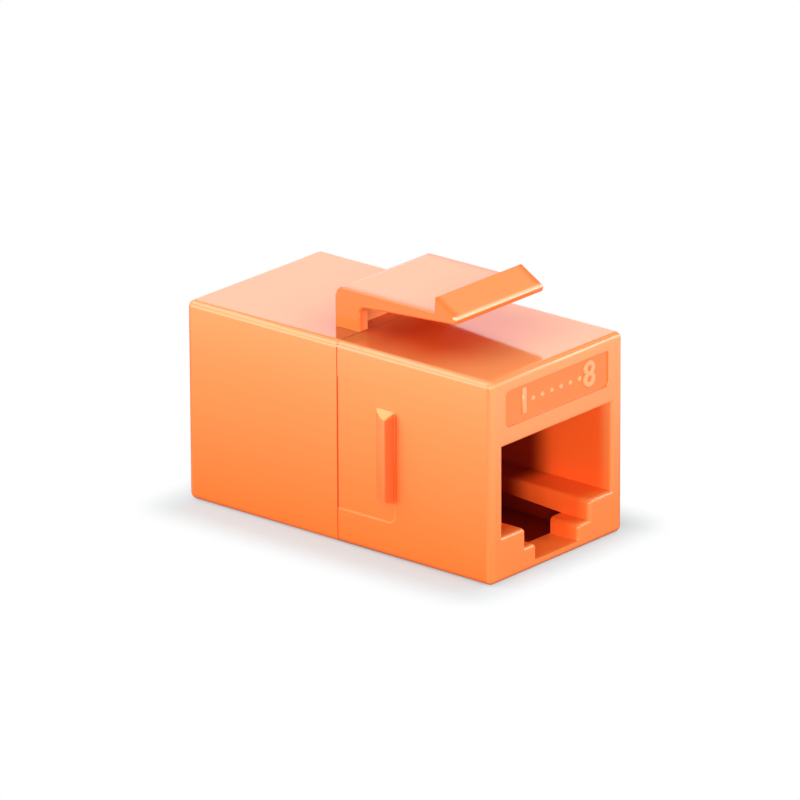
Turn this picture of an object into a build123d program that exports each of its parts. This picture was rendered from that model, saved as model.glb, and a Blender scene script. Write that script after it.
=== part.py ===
from build123d import *
import math
import os

os.makedirs("parts", exist_ok=True)

# Inline coupler for two eight-way modular plugs, in millimetres.
# X runs across the ports, Y from the front port to the rear port, Z up from the resting face.
# The origin is the middle of the resting face, on the plane where the two housings meet.

# Fits
fit_clearance = 0.05
contact_clearance = 0.03

# Plug port: the stepped opening, from the resting face up
port_width = 12.0
slot_floor_wall = 0.70
slot_depth = 1.17
slot_width = 4.6
keyway_depth = 1.48
keyway_width = 7.0
plug_height = 6.60
port_corner_radius = 0.32
port_mouth_radius = 0.28
port_wall = 2.55
plug_depth = 10.0

# Room behind the port for the plug's latch
chamber_floor_wall = 0.55
chamber_width = 9.2
chamber_rise = 0.70

# Housing walls
side_wall = 1.25
roof_wall = 1.25
face_wall = 2.0
contact_room_height = 3.75
edge_radius = 0.50
joint_chamfer = 0.06

# Lip of the rear housing that slides into the front housing and snaps there
lip_length = 1.90
lip_thickness = 0.55
snap_height = 0.15
snap_length = 0.80
snap_setback = 0.60
snap_span = 4.6

# Label recess on the front housing's port face
label_width = 11.4
label_height = 2.70
label_depth = 0.15
label_drop = 0.97
label_corner_radius = 0.42

# Shallow pad recess and panel stop rib on each side of the front housing
pad_length = 5.24
pad_height = 9.80
pad_middle = 7.50
pad_depth = 0.08
pad_corner_radius = 0.60
rib_height = 0.95
rib_length = 1.71
rib_span = 7.10
rib_end_taper = 0.55
rib_lead_angle = 50.0
rib_foot_radius = 0.12

# Panel latch, one piece with the rear housing
latch_width = 9.6
latch_rise = 3.03
latch_root_length = 2.28
latch_back_radius = 0.88
latch_leg_width = 0.90
latch_pocket_depth = 1.10
latch_arm_thickness = 1.13
latch_armpit_radius = 0.50
latch_tip_reach = 8.87
latch_tip_drop = 0.17
latch_tip_thickness = 0.42
latch_tip_radius = 0.14
catch_reach = 6.76
catch_lean = 0.07
catch_height = 1.02
latch_edge_break = 0.12

# Contact carriers
sill_length = 0.70
sill_height = 0.85
block_length = 2.0
solder_gap = 0.70
cheek_width = 0.75
tongue_thickness = 1.0
nose_setback = 0.60
wrap_clearance = 0.35
groove_depth = 0.15
comb_slot_clearance = 0.10
comb_slot_depth = 1.20
comb_slot_height = 3.60
foot_height = 0.90
peg_diameter = 1.0
peg_boss_width = 2.0
peg_spread = 4.6
peg_low = 6.0
peg_high = 8.4
peg_engagement = 0.90

# Contacts, formed from flat strip
contact_count = 8
contact_pitch = 1.016
contact_width = 0.40
contact_thickness = 0.30
contact_slope = 18.0
contact_tip_gap = 0.35
tail_stub = 0.40
tail_row_drop = 1.40
jog_angle = 50.0
jog_radius = 0.45
jog_lead = 0.20

# Circuit board
board_thickness = 1.2
board_edge_gap = 0.15
board_corner_radius = 0.6
tail_hole_diameter = 0.74
tail_hole_sides = 8

# Heights and lengths that follow
slot_floor = slot_floor_wall
keyway_floor = slot_floor + slot_depth
rail_top = keyway_floor + keyway_depth
port_roof = rail_top + plug_height
room_roof = port_roof + contact_room_height
body_height = room_roof + roof_wall
body_width = port_width + 2 * side_wall
board_face = board_thickness / 2
block_back = board_face + solder_gap
comb_face = block_back + block_length
plug_stop = comb_face + sill_length
housing_length = plug_stop + plug_depth
room_front = housing_length - face_wall
port_wall_back = housing_length - port_wall
carrier_width = port_width - 2 * fit_clearance
carrier_front = room_front - fit_clearance
wire_stand = contact_thickness - groove_depth
tongue_base = port_roof + wrap_clearance + wire_stand
tongue_top = tongue_base + tongue_thickness
nose_radius = tongue_thickness / 2
nose_centre = carrier_front - nose_setback - nose_radius


def block(x_low, x_high, y_low, y_high, z_low, z_high):
    """A plain block between two corners."""
    size = (x_high - x_low, y_high - y_low, z_high - z_low)
    middle = ((x_low + x_high) / 2, (y_low + y_high) / 2, (z_low + z_high) / 2)
    return Pos(*middle) * Box(*size)


def centred_block(width, y_low, y_high, z_low, z_high):
    """A block of the given width that is centred on X."""
    return block(-width / 2, width / 2, y_low, y_high, z_low, z_high)


def side_profile(outline, width):
    """A closed outline drawn in the YZ plane, given thickness evenly to both sides of X."""
    return extrude(Plane.YZ * outline, width / 2, both=True)


def contact_positions():
    """The X positions of the contacts, from the -X side."""
    middle = (contact_count - 1) / 2
    return [(index - middle) * contact_pitch for index in range(contact_count)]


# Housing shells. Both are built with their port facing -Y and the joint plane at Y = 0.


def outer_block():
    """The outside of one housing, rounded on every edge apart from the joint plane."""
    shell = centred_block(body_width, -housing_length, 0, 0, body_height)
    outside = shell.edges().filter_by(lambda edge: edge.center().Y < -1e-3)
    shell = fillet(outside, edge_radius)
    joint = shell.edges().filter_by(lambda edge: abs(edge.center().Y) < 1e-3)
    return chamfer(joint, joint_chamfer)


def port_outline():
    """The port seen from the front: plug opening, keyway and latch slot as one stepped outline."""
    opening = Pos(0, rail_top + plug_height / 2) * Rectangle(port_width, plug_height)
    keyway = Pos(0, keyway_floor + keyway_depth / 2) * Rectangle(keyway_width, keyway_depth)
    slot = Pos(0, slot_floor + slot_depth / 2) * Rectangle(slot_width, slot_depth)
    outline = opening + keyway + slot
    steps = [
        corner
        for corner in outline.vertices()
        if is_step_corner(corner.X, corner.Y)
    ]
    return fillet(steps, port_corner_radius)


def is_step_corner(x, z):
    """True where the stepped outline turns into the opening, at the rails and the keyway."""
    at_rail = abs(abs(x) - keyway_width / 2) < 1e-3 and abs(z - rail_top) < 1e-3
    at_slot = abs(abs(x) - slot_width / 2) < 1e-3 and abs(z - keyway_floor) < 1e-3
    return at_rail or at_slot


def port_cut():
    """The port through the stepped wall that the plug's latch catches behind."""
    face_plane = Plane.XZ.offset(housing_length)
    return extrude(face_plane * port_outline(), -port_wall)


def rounded_port(shell):
    """The shell with its port cut and its mouth rounded, apart from the latch slot's thin floor."""
    shell = shell - port_cut()
    margin = edge_radius + 1e-3
    floor_edge = slot_floor + 1e-3
    mouth = [
        edge
        for edge in shell.edges()
        if abs(edge.center().Y + housing_length) < 1e-3
        and abs(edge.center().X) < body_width / 2 - margin
        and floor_edge < edge.center().Z < body_height - margin
    ]
    return fillet(mouth, port_mouth_radius)


def rail_gap_outline():
    """The plug room's cross-section with the gap between the two rails below it."""
    room_height = room_roof - rail_top
    room = Pos(0, rail_top + room_height / 2) * Rectangle(port_width, room_height)
    gap = Pos(0, keyway_floor + keyway_depth / 2) * Rectangle(keyway_width, keyway_depth)
    outline = room + gap
    rails = [
        corner
        for corner in outline.vertices()
        if is_step_corner(corner.X, corner.Y)
    ]
    return fillet(rails, port_corner_radius)


def inner_room():
    """What the mould's core takes out behind the port: plug room, rails' gap and latch chamber."""
    tall_room = extrude(Plane.XZ * rail_gap_outline(), room_front)
    low_roof = centred_block(
        body_width, -room_front - face_wall, -port_wall_back, 0, rail_top
    )
    chamber = Polyline(
        (-port_wall_back, chamber_floor_wall),
        (0, chamber_floor_wall),
        (0, keyway_floor + chamber_rise),
        (-port_wall_back, keyway_floor),
        close=True,
    )
    return (tall_room - low_roof) + side_profile(make_face(chamber), chamber_width)


def housing_shell():
    """A housing as far as front and rear are alike."""
    return rounded_port(outer_block()) - inner_room()


def lip_body(allowance):
    """The lip's outer form in front of the joint plane, grown outwards by the allowance."""
    reach = lip_thickness + allowance
    length = lip_length + allowance
    form = centred_block(
        port_width + 2 * reach, -length, 0, rail_top + fit_clearance - allowance, room_roof + reach
    )
    snap_rear = -snap_setback + allowance
    snap_front = -snap_setback - snap_length - allowance
    face = port_width / 2 + reach
    tooth = Polyline(
        (face, snap_rear),
        (face + snap_height, (snap_rear + snap_front) / 2),
        (face, snap_front),
        close=True,
    )
    middle = (rail_top + room_roof) / 2
    tooth = Pos(0, 0, middle) * extrude(make_face(tooth), snap_span / 2 + allowance, both=True)
    return form + tooth + mirror(tooth, Plane.YZ)


def label_recess():
    """The shallow rounded recess above the port."""
    middle = body_height - label_drop - label_height / 2
    outline = Pos(0, middle) * RectangleRounded(label_width, label_height, label_corner_radius)
    return extrude(Plane.XZ.offset(housing_length) * outline, -label_depth)


def pad_recess():
    """The shallow recess on the +X side, open at the joint plane."""
    length = pad_length + pad_corner_radius
    outline = RectangleRounded(2 * length, pad_height, pad_corner_radius)
    window = Pos(pad_corner_radius, pad_middle) * outline
    cut = extrude(Plane.YZ.offset(body_width / 2) * window, -pad_depth)
    return cut & centred_block(2 * body_width, -housing_length, 0, 0, body_height)


def panel_rib():
    """The panel stop rib on the +X side: a curved ramp at the back, an upright stop at the front."""
    face = body_width / 2
    root = face - pad_depth
    crest = face + rib_height
    stop = -pad_length
    ramp_start = stop + rib_length
    lead = math.radians(rib_lead_angle)
    with BuildSketch() as section:
        with BuildLine():
            ramp = TangentArc(
                (root, ramp_start), (crest, stop), tangent=(math.sin(lead), -math.cos(lead))
            )
            Line(ramp @ 1, (face + rib_foot_radius, stop))
            foot = CenterArc(
                (face + rib_foot_radius, stop - rib_foot_radius), rib_foot_radius, 90, 90
            )
            Polyline(
                foot @ 1,
                (root - pad_depth, stop - rib_foot_radius),
                (root - pad_depth, ramp_start),
                (root, ramp_start),
            )
        make_face()
    low = pad_middle - rib_span / 2
    high = pad_middle + rib_span / 2
    depth = crest - face
    inset = rib_end_taper * depth
    inner = root - pad_depth
    elevation = Polyline(
        (inner, low - rib_end_taper * (inner - face)),
        (inner, high + rib_end_taper * (inner - face)),
        (crest, high - inset),
        (crest, low + inset),
        close=True,
    )
    along = extrude(section.sketch, body_height)
    across = extrude(Plane.XZ * make_face(elevation), housing_length / 2, both=True)
    return along & across


def latch_outline():
    """The latch from the side: root, arm, catch with its ramp, and blunt tip."""
    arm_top = body_height + latch_rise
    tip_top = arm_top - latch_tip_drop
    corners = [
        (latch_root_length, body_height - roof_wall / 2),
        (latch_root_length, arm_top),
        (-catch_reach, arm_top),
        (-catch_reach - catch_lean, arm_top + catch_height),
        (-latch_tip_reach, tip_top),
        (-latch_tip_reach + latch_tip_radius, tip_top - latch_tip_thickness),
        (0, arm_top - latch_arm_thickness - latch_tip_radius / 2),
        (0, body_height - roof_wall / 2),
    ]
    outline = make_face(Polyline(*corners, close=True))
    radii = {
        1: latch_back_radius,
        4: latch_tip_radius,
        5: latch_tip_radius,
        6: latch_armpit_radius,
    }
    for index, radius in radii.items():
        y, z = corners[index]
        here = outline.vertices().sort_by_distance((y, z, 0))[0]
        outline = fillet(here, radius)
    return outline


def panel_latch():
    """The springy latch with its hollow root, one moulding with the rear housing."""
    latch = side_profile(latch_outline(), latch_width)
    side_edges = [
        edge
        for edge in latch.edges()
        if abs(abs(edge.center().X) - latch_width / 2) < 1e-3
        and edge.center().Z > body_height + latch_edge_break
    ]
    latch = chamfer(side_edges, latch_edge_break)
    pocket_roof = body_height + latch_rise - latch_arm_thickness
    pocket = centred_block(
        latch_width - 2 * latch_leg_width,
        -latch_armpit_radius,
        latch_pocket_depth,
        body_height,
        pocket_roof,
    )
    return latch - pocket


def front_housing():
    """The housing with the label, the side pads and ribs, and a rebate for the lip."""
    shell = housing_shell() - lip_body(fit_clearance) - label_recess()
    pad = pad_recess()
    rib = panel_rib()
    shell = shell - pad - mirror(pad, Plane.YZ)
    return shell + rib + mirror(rib, Plane.YZ)


def rear_housing():
    """The housing with the lip at the joint and the panel latch on its roof."""
    shell = Rot(0, 0, 180) * housing_shell()
    hollow = centred_block(port_width, -2 * lip_length, 0, 0, room_roof)
    return shell + (lip_body(0) - hollow) + panel_latch()


# Contacts. A contact is a strip bent in one plane, so it is drawn from the side as a bend table.


def strip_outline(start, heading, table, thickness):
    """The side view of a bent strip.

    Each row of the table is a straight length, then a bend radius and a turn in degrees,
    both at the strip's middle line. A positive turn goes to the left of the heading.
    """
    point = Vector(*start)
    left_side = []
    right_side = []
    half = thickness / 2
    for length, radius, turn in table:
        along = Vector(math.cos(heading), math.sin(heading))
        normal = Vector(-along.Y, along.X)
        end = point + along * length
        left_side.append(Line(point + normal * half, end + normal * half))
        right_side.append(Line(point - normal * half, end - normal * half))
        point = end
        if turn:
            side = math.copysign(1, turn)
            centre = point + normal * (side * radius)
            middle = heading + math.radians(turn) / 2
            last = heading + math.radians(turn)
            for edges, offset in ((left_side, half), (right_side, -half)):
                reach = radius - side * offset
                places = [
                    centre - side * reach * Vector(-math.sin(angle), math.cos(angle))
                    for angle in (heading, middle, last)
                ]
                edges.append(ThreePointArc(*places))
            point = centre - side * radius * Vector(-math.sin(last), math.cos(last))
            heading = last
    start_cap = Line(left_side[0] @ 0, right_side[0] @ 0)
    end_cap = Line(left_side[-1] @ 1, right_side[-1] @ 1)
    return make_face(left_side + right_side + [start_cap, end_cap])


def contact_table(is_low_row, from_y, to_y):
    """Start height and bend table of a contact from its tail round the tongue's nose to its tip."""
    wire_level = tongue_top - groove_depth + contact_thickness / 2
    wrap_radius = nose_radius - groove_depth + contact_thickness / 2
    wrap_turn = 180 - contact_slope
    leave = nose_centre + wrap_radius * math.sin(math.radians(contact_slope))
    beam = (leave - to_y) / math.cos(math.radians(contact_slope))
    nose = (wrap_radius, wrap_turn)
    if not is_low_row:
        return wire_level, [(from_y + nose_centre, *nose), (beam, 0, 0)]
    angle = math.radians(jog_angle)
    rise = tail_row_drop - 2 * jog_radius * (1 - math.cos(angle))
    ramp = rise / math.sin(angle)
    run = 2 * jog_radius * math.sin(angle) + ramp * math.cos(angle)
    tail = from_y + block_back + jog_lead
    rest = from_y + nose_centre - tail - run
    table = [
        (tail, jog_radius, -jog_angle),
        (ramp, jog_radius, jog_angle),
        (rest, *nose),
        (beam, 0, 0),
    ]
    return wire_level - tail_row_drop, table


def bent_strip(x, is_low_row, thickness, width, overrun):
    """One contact, or with more thickness, width and overrun the channel that it lies in."""
    tail_end = board_face + tail_stub + overrun
    tip = comb_face - comb_slot_depth + contact_tip_gap - overrun
    height, table = contact_table(is_low_row, tail_end, tip)
    outline = strip_outline((tail_end, height), math.pi, table, thickness)
    return Pos(x, 0, 0) * side_profile(outline, width)


def contact(x, is_low_row):
    """One formed contact at its place across the port."""
    return bent_strip(x, is_low_row, contact_thickness, contact_width, 0)


def contact_groove(x):
    """The groove that a contact lies in: over the carrier's block and round the tongue's nose."""
    grown = 2 * contact_clearance
    return bent_strip(
        x, False, contact_thickness + grown, contact_width + grown, contact_clearance
    )


def tail_slot(x):
    """The slot through the carrier's block where a contact steps down to the lower row of holes."""
    low_tail = tongue_top - groove_depth - tail_row_drop
    width = contact_width + 2 * contact_clearance
    slot = centred_block(
        width, -comb_face, -block_back, low_tail - contact_clearance, tongue_top
    )
    return Pos(x, 0, 0) * slot


def comb_slot(x):
    """The upright slot in the block's front that guides a contact's free end."""
    width = contact_width + 2 * comb_slot_clearance
    slot = centred_block(
        width, -comb_face, -comb_face + comb_slot_depth, tongue_base - comb_slot_height, tongue_base
    )
    return Pos(x, 0, 0) * slot


def is_low(index):
    """Every second contact's tail goes to the lower row of board holes."""
    return index % 2 == 1


# Carriers


def tongue():
    """The plate above the plug with a round nose that the contacts wrap around."""
    middle = (tongue_base + tongue_top) / 2
    plate = Polyline(
        (-nose_centre, tongue_base),
        (-block_back, tongue_base),
        (-block_back, tongue_top),
        (-nose_centre, tongue_top),
        close=True,
    )
    nose = Pos(-nose_centre, middle) * Circle(nose_radius)
    return side_profile(make_face(plate) + nose, carrier_width)


def keel():
    """The block's lower part: it fills the gap between the rails and the latch chamber below."""
    floor = chamber_floor_wall + fit_clearance
    chamber_roof = keyway_floor + chamber_rise * (1 - comb_face / port_wall_back)
    between_rails = centred_block(
        keyway_width - 2 * fit_clearance, -comb_face, -block_back, floor, rail_top + fit_clearance
    )
    below_rails = centred_block(
        chamber_width - 2 * fit_clearance,
        -comb_face,
        -block_back,
        floor,
        chamber_roof - fit_clearance,
    )
    return between_rails + below_rails


def cheeks():
    """The two upright sides of the carrier that fill the room up to the housing's roof."""
    low = port_roof + fit_clearance
    high = room_roof - fit_clearance
    inner = carrier_width / 2 - cheek_width
    cheek = block(inner, carrier_width / 2, -carrier_front, -block_back, low, high)
    return cheek + mirror(cheek, Plane.YZ)


def peg(x, z):
    """A round peg on a square standoff, which goes from the carrier's back into the board."""
    back = Plane.XZ.offset(block_back)
    standoff = extrude(back * Pos(x, z) * Rectangle(peg_boss_width, peg_boss_width), -solder_gap)
    pin = extrude(back * Pos(x, z) * Circle(peg_diameter / 2), -solder_gap - peg_engagement)
    return standoff + pin


def contact_carrier():
    """The front carrier: block, plug sill, tongue, cheeks, foot and pegs, cut for the contacts."""
    low = rail_top + fit_clearance
    body = centred_block(carrier_width, -comb_face, -block_back, low, tongue_top)
    body += centred_block(carrier_width, -plug_stop, -comb_face, low, low + sill_height)
    body += centred_block(carrier_width, -block_back, -board_face, low, low + foot_height)
    body += keel()
    body += tongue()
    body += cheeks()
    for x, z in ((peg_spread, peg_low), (-peg_spread, peg_high)):
        body += peg(x, z)
    for index, x in enumerate(contact_positions()):
        body = body - comb_slot(x) - contact_groove(x)
        if is_low(index):
            body = body - tail_slot(x)
    return body


def turned(piece):
    """The piece turned half round Z, for the rear port."""
    return Rot(0, 0, 180) * piece


def circuit_board():
    """The board between the carriers, with holes for both sets of tails and all pegs."""
    low = rail_top + fit_clearance
    height = room_roof - low - board_edge_gap
    width = port_width - 2 * board_edge_gap
    middle = low + height / 2
    outline = Pos(0, middle) * RectangleRounded(width, height, board_corner_radius)
    outline = outline - tail_holes() - peg_holes()
    return extrude(Plane.XZ * outline, board_thickness / 2, both=True)


def tail_holes():
    """The board's small holes, one for each contact's tail, in two rows for each carrier."""
    tail_level = tongue_top - groove_depth + contact_thickness / 2
    hole = RegularPolygon(tail_hole_diameter / 2, tail_hole_sides)
    holes = []
    for index, x in enumerate(contact_positions()):
        z = tail_level - (tail_row_drop if is_low(index) else 0)
        holes += [Pos(x, z) * hole, Pos(-x, z) * hole]
    return holes


def peg_holes():
    """The board's holes for the pegs of the two carriers."""
    hole = Circle(peg_diameter / 2 + fit_clearance)
    return [
        Pos(side * x, z) * hole
        for x, z in ((peg_spread, peg_low), (-peg_spread, peg_high))
        for side in (1, -1)
    ]


def write(name, piece):
    """Write one piece as its own file."""
    export_step(piece, f"parts/{name}.step")


carrier = contact_carrier()
write("front_housing", front_housing())
write("rear_housing", rear_housing())
write("circuit_board", circuit_board())
write("front_contact_carrier", carrier)
write("rear_contact_carrier", turned(carrier))
for number, place in enumerate(contact_positions(), start=1):
    spring = contact(place, is_low(number - 1))
    write(f"front_contact_{number}", spring)
    write(f"rear_contact_{number}", turned(spring))
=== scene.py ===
import logging
import math
from dataclasses import dataclass, field
from enum import Enum

import bpy
from mathutils import Matrix, Vector


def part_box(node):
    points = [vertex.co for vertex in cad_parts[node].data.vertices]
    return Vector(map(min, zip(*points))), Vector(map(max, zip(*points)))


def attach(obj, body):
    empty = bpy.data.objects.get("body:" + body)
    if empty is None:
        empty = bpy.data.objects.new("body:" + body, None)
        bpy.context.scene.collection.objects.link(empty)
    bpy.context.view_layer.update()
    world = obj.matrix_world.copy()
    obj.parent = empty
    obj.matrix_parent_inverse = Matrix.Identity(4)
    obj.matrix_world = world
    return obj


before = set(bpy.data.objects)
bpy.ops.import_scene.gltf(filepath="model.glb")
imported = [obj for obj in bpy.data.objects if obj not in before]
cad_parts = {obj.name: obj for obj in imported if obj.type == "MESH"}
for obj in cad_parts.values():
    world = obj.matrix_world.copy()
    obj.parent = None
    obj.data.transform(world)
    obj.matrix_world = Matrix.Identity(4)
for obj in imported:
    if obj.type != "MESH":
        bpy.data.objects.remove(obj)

log = logging.getLogger("inline_coupler")

MM = 0.001
BODY = "root"
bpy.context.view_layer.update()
CONTACT_COUNT = 8
NOISE_MIDDLE = 0.5
WHITE = (1.0, 1.0, 1.0, 1.0)

Colour = tuple[float, float, float, float]
Triple = tuple[float, float, float]
Node = bpy.types.Node
NodeTree = bpy.types.NodeTree
Socket = bpy.types.NodeSocket


class Slot(Enum):
    """The record's material slots."""

    HOUSING = "housing"
    CARRIER = "carrier"
    BOARD = "board"
    CONTACT = "contact"


class Side(Enum):
    """The two ends of the coupler, by the word that starts the names of their nodes."""

    FRONT = "front"
    REAR = "rear"


class Zone(Enum):
    """The parts of the housings whose colour is changed to paint light and shade on them.

    Attributes:
        PORT: Painted shade inside a port, growing from its mouth inwards.
        DEPTH: Deeper painted shade at the port's far end, growing again.
        CHAMBER: Dark painted shade in the room below the port's ledges.
        RECESS: Painted shade on the floor of the label recess.
        RIM: Painted shade on the wall of the label recess.
        LIT_RIM: That wall's +X end.
        SEAM: Painted shade in the joint between the housings.
        LATCH_SHADE: The roof under the latch and round it, weaker on its +X side.
        ROOT_SHADE: The roof beside the latch's root.
        RIB_SHADE: The stop rib's stop face and the housing's side ahead of it.
        RIB_FOOT: Deeper painted shade on the fillet at that face's foot.
        RIB_TOP: A painted highlight on the rib's upper end.
        PAD_EDGE: A painted highlight along the lower outline of the pad recess, ahead of the joint.
        LONG_EDGE: A painted highlight on the roof's two long rounded edges.
        UPRIGHT_EDGE: Painted shade on the upright rounded edges of the end faces.
        LATCH_SIDE: Painted shade on the latch's two sides and its tip.
        CATCH_EDGE: A painted highlight on the lower edge of the catch's wedge.
    """

    PORT = "Port"
    DEPTH = "Depth"
    CHAMBER = "Chamber"
    RECESS = "Recess"
    RIM = "Rim"
    LIT_RIM = "Lit Rim"
    SEAM = "Seam"
    LATCH_SHADE = "Latch Shade"
    ROOT_SHADE = "Root Shade"
    RIB_SHADE = "Rib Shade"
    RIB_FOOT = "Rib Foot"
    RIB_TOP = "Rib Top"
    PAD_EDGE = "Pad Edge"
    LONG_EDGE = "Long Edge"
    UPRIGHT_EDGE = "Upright Edge"
    LATCH_SIDE = "Latch Side"
    CATCH_EDGE = "Catch Edge"


# Node trees


class Tree:
    """A thin hand for writing node trees: it adds nodes, sets their inputs and links them."""

    def __init__(self, tree: NodeTree) -> None:
        """Keeps the tree that is written to.

        Args:
            tree: A shader or geometry node tree.
        """
        self.tree = tree

    def add(self, kind: str, inputs: dict | None = None, **settings: object) -> Node:
        """Adds one node.

        Args:
            kind: The node's type name.
            inputs: Input name or index to a value, or to an output socket to link from.
            settings: Properties of the node itself.

        Returns:
            The new node.
        """
        node = self.tree.nodes.new(kind)
        for key, value in settings.items():
            setattr(node, key, value)
        for key, value in (inputs or {}).items():
            if isinstance(value, Socket):
                self.tree.links.new(value, node.inputs[key])
            else:
                node.inputs[key].default_value = value
        return node

    def math(self, operation: str, *values: float | Socket) -> Socket:
        """Adds a Math node and returns its result."""
        return self.add("ShaderNodeMath", dict(enumerate(values)), operation=operation).outputs[0]

    def vector(self, operation: str, *values: Triple | Socket) -> Socket:
        """Adds a Vector Math node and returns its vector."""
        inputs = dict(enumerate(values))
        return self.add("ShaderNodeVectorMath", inputs, operation=operation).outputs[0]

    def link(self, source: Socket, target: Socket) -> None:
        """Links two sockets."""
        self.tree.links.new(source, target)

    def place(self) -> tuple[Socket, Socket, Socket]:
        """Reads X, Y and Z of the Object coordinates."""
        spot = self.add("ShaderNodeTexCoord").outputs["Object"]
        return tuple(self.add("ShaderNodeSeparateXYZ", {0: spot}).outputs)

    def under(self, value: Socket, limit: Socket | float) -> Socket:
        """1 where the value is under the limit, else 0."""
        return self.math("LESS_THAN", value, limit)

    def between(self, value: Socket, low: Socket, high: Socket) -> Socket:
        """1 where the value lies between two limits, else 0."""
        return self.every(self.under(low, value), self.under(value, high))

    def every(self, *masks: Socket) -> Socket:
        """Multiplies masks, so that the result is 1 where every one of them is.

        Args:
            masks: One mask or more.

        Returns:
            Their product.
        """
        product = masks[0]
        for mask in masks[1:]:
            product = self.math("MULTIPLY", product, mask)
        return product

    def mapped(
        self,
        value: Socket,
        start: Socket | float,
        end: Socket | float,
        low: Socket | float,
        high: Socket | float,
        curve: str = "LINEAR",
    ) -> Socket:
        """Maps what lies between start and end to what lies between low and high.

        Args:
            value: The value, which is held between start and end.
            start: The value that gives low.
            end: The value that gives high.
            low: The result at the start.
            high: The result at the end.
            curve: How the result goes from one to the other.

        Returns:
            The result.
        """
        inputs = dict(enumerate((value, start, end, low, high)))
        return self.add("ShaderNodeMapRange", inputs, interpolation_type=curve).outputs[0]

    def grown(
        self, value: Socket, start: Socket | float, end: Socket | float, low: float = 0.0
    ) -> Socket:
        """Grows smoothly from low at the start to 1 at the end."""
        return self.mapped(value, start, end, low, 1.0, "SMOOTHSTEP")

    def mix(self, share: Socket, first: Socket | Colour, second: Socket | Colour) -> Socket:
        """Mixes two colours, all first at a share of 0 and all second at 1."""
        colours = {0: share, 6: first, 7: second}
        return self.add("ShaderNodeMix", colours, data_type="RGBA").outputs[2]

    def outside(self, value: Socket, half: Socket) -> Socket:
        """How far a value lies outside a half size, and 0 inside it."""
        return self.math("MAXIMUM", self.math("SUBTRACT", value, half), 0.0)

    def length(self, first: Socket, second: Socket) -> Socket:
        """The length of a step with these two parts at right angles."""
        squares = [self.math("POWER", step, 2.0) for step in (first, second)]
        return self.math("SQRT", self.math("ADD", *squares))

    def gap(self, value: Socket, middle: Socket) -> Socket:
        """How far a value lies from a middle, either way."""
        return self.math("ABSOLUTE", self.math("SUBTRACT", value, middle))


def blank_tree(owner: bpy.types.Material | bpy.types.World) -> Tree:
    """Empties the node tree of a material or a world.

    Args:
        owner: The material or world.

    Returns:
        A Tree on its empty node tree.
    """
    owner.use_nodes = True
    owner.node_tree.nodes.clear()
    return Tree(owner.node_tree)


def new_group(
    name: str, inputs: dict[str, float | Colour], outputs: dict[str, str]
) -> tuple[NodeTree, Tree, Node, Node]:
    """Makes an empty shader node group with named sockets.

    Args:
        name: The group's name.
        inputs: Input name to its default, a number or a colour.
        outputs: Output name to its socket type.

    Returns:
        The group, a Tree on it, its input node and its output node.
    """
    group = bpy.data.node_groups.new(name, "ShaderNodeTree")
    for label, default in inputs.items():
        kind = "NodeSocketColor" if isinstance(default, tuple) else "NodeSocketFloat"
        socket = group.interface.new_socket(name=label, in_out="INPUT", socket_type=kind)
        socket.default_value = default
    for label, kind in outputs.items():
        group.interface.new_socket(name=label, in_out="OUTPUT", socket_type=kind)
    tree = Tree(group)
    return group, tree, tree.add("NodeGroupInput"), tree.add("NodeGroupOutput")


def moulded_skin_group() -> NodeTree:
    """The skin of a moulded or plated part: slow drift of tone and gloss, and a fine waviness.

    Returns:
        A group that turns two colours and a roughness into Colour, Roughness and Height.
    """
    group, tree, given, result = new_group(
        "moulded_skin",
        {
            "Colour": (0.8, 0.8, 0.8, 1.0),
            "Flow Colour": (0.8, 0.8, 0.8, 1.0),
            "Flow Scale": 60.0,
            "Grain Scale": 4000.0,
            "Roughness": 0.2,
            "Roughness Spread": 0.04,
            "Roughness Drift": 0.06,
            "Flow Height": 0.8,
        },
        {
            "Colour": "NodeSocketColor",
            "Roughness": "NodeSocketFloat",
            "Height": "NodeSocketFloat",
        },
    )
    size = given.outputs
    place = tree.add("ShaderNodeTexCoord").outputs["Object"]
    flow = tree.add(
        "ShaderNodeTexNoise",
        {"Vector": place, "Scale": size["Flow Scale"], "Detail": 3.0, "Roughness": 0.45},
    )
    grain = tree.add(
        "ShaderNodeTexNoise",
        {"Vector": place, "Scale": size["Grain Scale"], "Detail": 4.0, "Roughness": 0.6},
    )
    tone = tree.mix(flow.outputs[0], size["Colour"], size["Flow Colour"])
    roughness = size["Roughness"]
    for noise, share in ((grain, "Roughness Spread"), (flow, "Roughness Drift")):
        centred = tree.math("SUBTRACT", noise.outputs[0], NOISE_MIDDLE)
        roughness = tree.math("ADD", roughness, tree.math("MULTIPLY", centred, size[share]))
    waves = tree.math("MULTIPLY", flow.outputs[0], size["Flow Height"])
    tree.link(tone, result.inputs["Colour"])
    tree.link(roughness, result.inputs["Roughness"])
    tree.link(tree.math("ADD", waves, grain.outputs[0]), result.inputs["Height"])
    return group


def height_tone_group() -> NodeTree:
    """How high a surface lies on the housings, from 0 at the resting face to 1 at the roof, which
    sets how much painted shade darkens them towards the bottom.

    The lower parts of the end faces count as a little higher than they are, so they get less of
    that painted shade.

    Returns:
        A group with one output, Rise, read from Object coordinates.
    """
    group, tree, given, result = new_group(
        "height_shade",
        {
            "Low": 0.5 * MM,
            "High": 14.6 * MM,
            "End Lift": 5.0 * MM,
            "End Lift Top": 8.0 * MM,
            "End Start": 13.6 * MM,
            "End Face": 13.98 * MM,
        },
        {"Rise": "NodeSocketFloat"},
    )
    size = given.outputs
    _, along, height = tree.place()
    reach = tree.math("ABSOLUTE", along)
    end = tree.mapped(reach, size["End Start"], size["End Face"], 0.0, size["End Lift"])
    lift = tree.mapped(height, size["Low"], size["End Lift Top"], end, 0.0)
    level = tree.math("ADD", height, lift)
    rise = tree.mapped(level, size["Low"], size["High"], 0.0, 1.0)
    tree.link(rise, result.inputs["Rise"])
    return group


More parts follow.
